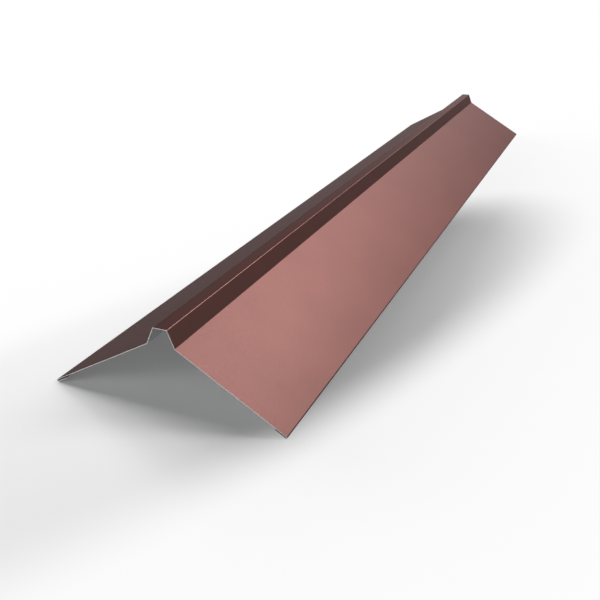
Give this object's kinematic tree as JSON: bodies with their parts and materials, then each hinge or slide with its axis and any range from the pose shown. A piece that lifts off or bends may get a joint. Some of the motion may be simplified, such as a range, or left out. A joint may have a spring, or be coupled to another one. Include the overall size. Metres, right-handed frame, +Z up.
{
  "type": "roof ridge cap",
  "caption": "Long folded sheet-metal ridge cap: two wings sloping at 30 degrees, a raised trapezoid rib along the ridge, and an open hem folded under each lower edge.",
  "frame": {"origin": "on the floor under the middle of the rib, halfway along the cap: the middle of the bounding box's base", "axes": "+X across the ridge to the right wing, +Y along the ridge, +Z up from the floor to the rib's top"},
  "size_m": [0.3716, 2, 0.1237],
  "materials": {
    "painted_steel": "satin"
  },
  "bodies": {
    "root": {"ridge_cap": "painted_steel"}
  },
  "joints": []
}
